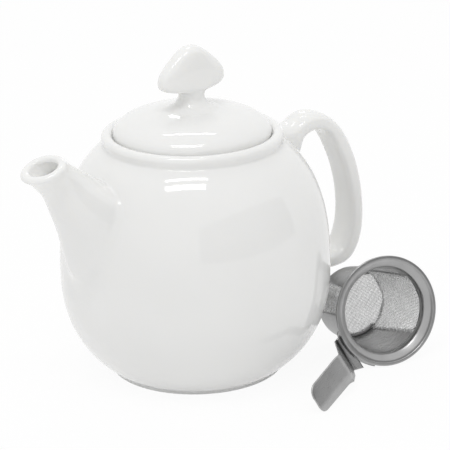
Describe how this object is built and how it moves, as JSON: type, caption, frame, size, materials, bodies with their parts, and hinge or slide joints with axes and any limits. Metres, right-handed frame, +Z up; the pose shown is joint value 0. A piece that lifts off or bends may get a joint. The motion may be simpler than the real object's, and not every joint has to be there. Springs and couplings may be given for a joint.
{
  "type": "teapot with infuser",
  "caption": "Round glazed teapot with spout, loop handle, domed lid and spade knob, and a steel mesh basket infuser with a bent strap handle lying beside it.",
  "frame": {"origin": "centre of the pot's foot ring, on the table", "axes": "+Z up; the spout points along -X and the pot's handle along +X; the infuser lies on the -Y side of the handle"},
  "size_m": [0.1927, 0.1524, 0.1592],
  "materials": {
    "glaze": "white gloss glaze",
    "steel": "satin stainless steel",
    "steel_mesh": "fine woven stainless mesh, modelled as thin sheet"
  },
  "bodies": {
    "pot": {"pot_body": "glaze", "spout": "glaze", "pot_handle": "glaze"},
    "lid": {"lid": "glaze", "lid_knob": "glaze"},
    "infuser": {"infuser_rim": "steel", "infuser_shell": "steel", "infuser_mesh_wall": "steel_mesh", "infuser_mesh_base": "steel_mesh", "infuser_handle": "steel", "handle_welds": "steel"}
  },
  "joints": [
    {"name": "lid_lift", "type": "slide", "parent": "pot", "child": "lid", "axis": [0, 0, 1], "range_m": [0, 0.08]},
    {"name": "infuser_lift", "type": "slide", "parent": "pot", "child": "infuser", "axis": [0.15, -0.126, 0.9806], "range_m": [0, 0.15]}
  ]
}
